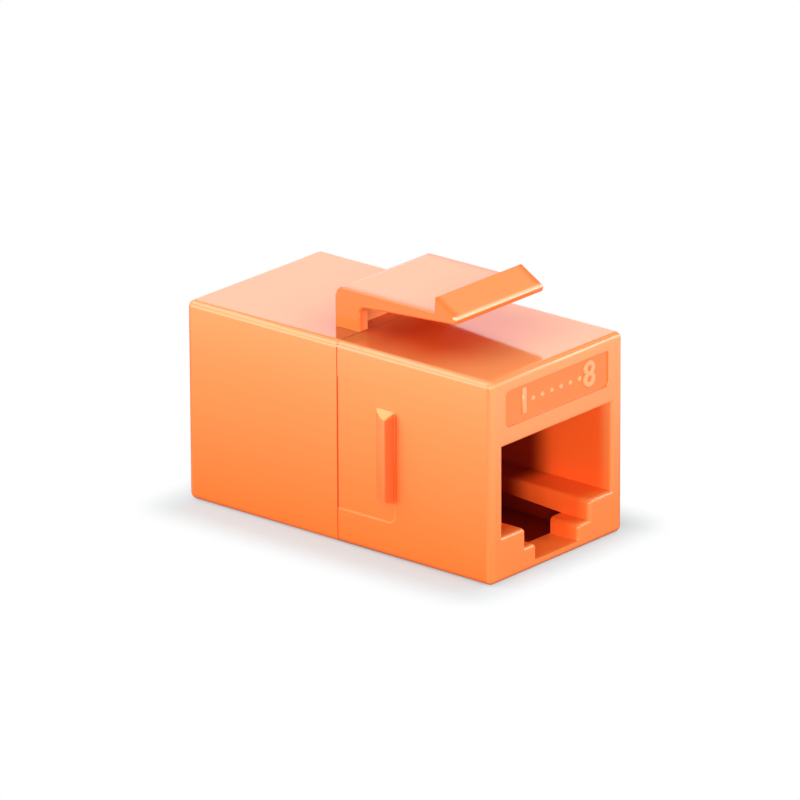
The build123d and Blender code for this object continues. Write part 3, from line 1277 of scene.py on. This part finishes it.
@dataclass
class Studio:
    """Pale floor, white surroundings and soft lamps.

    Attributes:
        floor_half: Half the floor's side, in metres.
        floor_colour: The floor's paper as the camera sees it.
        bounce_colour: The same paper as every other ray meets it.
        own_white_near: How much of the floor is plain white at the coupler's edge, where the
            painted shadow band is darkest.
        shadow_middle: The middle of the painted shadow band round the coupler's footprint, which
            lies over its real shadow on the floor.
        footprint_half: Half the coupler's footprint in X and Y, and any large height in Z.
        shadow_reach: How far the painted shadow band fades out from the footprint.
        mirror_middle: The middle of the floor's grey patch that the coupler mirrors.
        mirror_near: Where that patch starts to grow white, from the footprint.
        mirror_far: Where it is white.
        sky_level: The brightness of the surroundings as a lamp.
        horizon_rise: Up to where the mirrored surroundings are white, as the rise of a ray.
        zenith_rise: From where they are at their darkest.
        mirrored_zenith: How bright they are there.
        white_level: The brightness of plain white.
        lamp_middle: The point that the lamps are turned to.
        lamps: The soft lamps.
    """

    floor_half: float = 3.0
    floor_colour: Colour = (0.6, 0.715, 0.75, 1.0)
    bounce_colour: Colour = (0.25, 0.25, 0.25, 1.0)
    own_white_near: float = 0.3
    shadow_middle: Triple = (-0.3 * MM, 0.0, 0.0)
    footprint_half: Triple = (8.2 * MM, 12.8 * MM, 1.0)
    shadow_reach: float = 4.3 * MM
    mirror_middle: Triple = (0.0, 17 * MM, 0.0)
    mirror_near: float = 20 * MM
    mirror_far: float = 40 * MM
    sky_level: float = 0.52
    horizon_rise: float = 0.15
    zenith_rise: float = 0.6
    mirrored_zenith: float = 0.15
    white_level: float = 1.0
    lamp_middle: Vector = Vector((0, 0, 7.5 * MM))
    lamps: tuple[Softbox, ...] = (
        Softbox("port_softbox", -53, 9, 0.25, 0.125, 0.05, 23.0),
        Softbox("left_softbox", -125, 8, 0.12, 0.10, 0.05, 2.7),
        Softbox("front_softbox", 0, 20, 0.25, 0.12, 0.12, 3.3),
        Softbox("right_softbox", 35, 14, 0.25, 0.12, 0.06, 2.4),
        Softbox("right_edge_lamp", 54, 22, 0.16, 0.05, 0.05, 5.5),
        Softbox("left_edge_lamp", -151, 46, 0.15, 0.12, 0.06, 3.0),
        Softbox("back_softbox", 130, 20, 0.3, 0.34, 0.12, 1.2),
    )

    def beyond(self, tree: Tree, ground: Socket, middle: Triple) -> Socket:
        """Measures how far the floor lies outside the coupler's footprint.

        Args:
            tree: The floor material's tree.
            ground: The place on the floor.
            middle: Where the footprint's middle is moved to.

        Returns:
            The distance, 0 inside the footprint.
        """
        spread = tree.vector("ABSOLUTE", tree.vector("SUBTRACT", ground, middle))
        gap = tree.vector("SUBTRACT", spread, self.footprint_half)
        outside = tree.vector("MAXIMUM", gap, (0.0, 0.0, 0.0))
        measured = tree.add("ShaderNodeVectorMath", {0: outside}, operation="LENGTH")
        return measured.outputs["Value"]

    def paper(self) -> bpy.types.Material:
        """Makes the floor's material.

        Returns:
            Matt paper with a painted shadow band round the coupler's footprint, where the real
            shadow shows too; beyond it and where it is mirrored, plain white.
        """
        material = bpy.data.materials.new("pale_floor")
        tree = blank_tree(material)
        path = tree.add("ShaderNodeLightPath").outputs
        seen, mirrored = path["Is Camera Ray"], path["Is Glossy Ray"]
        ground = tree.add("ShaderNodeTexCoord").outputs["Object"]
        # Painted shadow: the floor the camera sees is less plain white near the footprint, so it
        # darkens there even where no light is blocked.
        shadow_away = self.beyond(tree, ground, self.shadow_middle)
        near_white = tree.grown(shadow_away, 0.0, self.shadow_reach, self.own_white_near)
        mirror_away = self.beyond(tree, ground, self.mirror_middle)
        far_white = tree.grown(mirror_away, self.mirror_near, self.mirror_far)
        share = tree.math(
            "ADD",
            tree.math("MULTIPLY", seen, near_white),
            tree.math("MULTIPLY", mirrored, far_white),
        )
        shade = tree.mix(seen, self.bounce_colour, self.floor_colour)
        matt = tree.add("ShaderNodeBsdfDiffuse", {"Color": shade})
        white = tree.add("ShaderNodeEmission", {"Color": WHITE, "Strength": self.white_level})
        mixed = tree.add("ShaderNodeMixShader", {0: share, 1: matt.outputs[0], 2: white.outputs[0]})
        output = tree.add("ShaderNodeOutputMaterial")
        tree.link(mixed.outputs[0], output.inputs["Surface"])
        return material

    def floor(self) -> None:
        """Lays the plain floor that the coupler stands on."""
        half = self.floor_half
        mesh = bpy.data.meshes.new("studio_floor")
        corners = [(-half, -half, 0), (half, -half, 0), (half, half, 0), (-half, half, 0)]
        mesh.from_pydata(corners, [], [(0, 1, 2, 3)])
        mesh.materials.append(self.paper())
        shown("studio_floor", mesh)

    def sky(self) -> None:
        """Makes the surroundings: full white where they are seen, paler upwards where mirrored."""
        world = bpy.data.worlds.new("white_surroundings")
        bpy.context.scene.world = world
        tree = blank_tree(world)
        path = tree.add("ShaderNodeLightPath").outputs
        way = tree.add("ShaderNodeTexCoord").outputs["Generated"]
        rise = tree.add("ShaderNodeSeparateXYZ", {0: way}).outputs["Z"]
        mirror_white = tree.mapped(
            rise, self.horizon_rise, self.zenith_rise, self.white_level, self.mirrored_zenith
        )
        mirrored = tree.mapped(path["Is Glossy Ray"], 0.0, 1.0, self.sky_level, mirror_white)
        level = tree.mapped(path["Is Camera Ray"], 0.0, 1.0, mirrored, self.white_level)
        light = tree.add("ShaderNodeBackground", {"Color": WHITE, "Strength": level})
        output = tree.add("ShaderNodeOutputWorld")
        tree.link(light.outputs[0], output.inputs[0])

    def build(self) -> None:
        """Sets the studio up."""
        self.floor()
        self.sky()
        for lamp in self.lamps:
            lamp.build(self.lamp_middle)
        bpy.context.scene.view_settings.view_transform = "Standard"


def main() -> None:
    """Dresses the coupler and sets the studio up."""
    logging.basicConfig(level=logging.INFO, format="%(name)s: %(message)s")
    shop = PaintShop()
    shop.open()
    MouldedShells().build(shop)
    Innards().build(shop)
    PinMarks().build(shop)
    Studio().build()
    PhotoCamera().build()


if __name__ == "__main__":
    main()
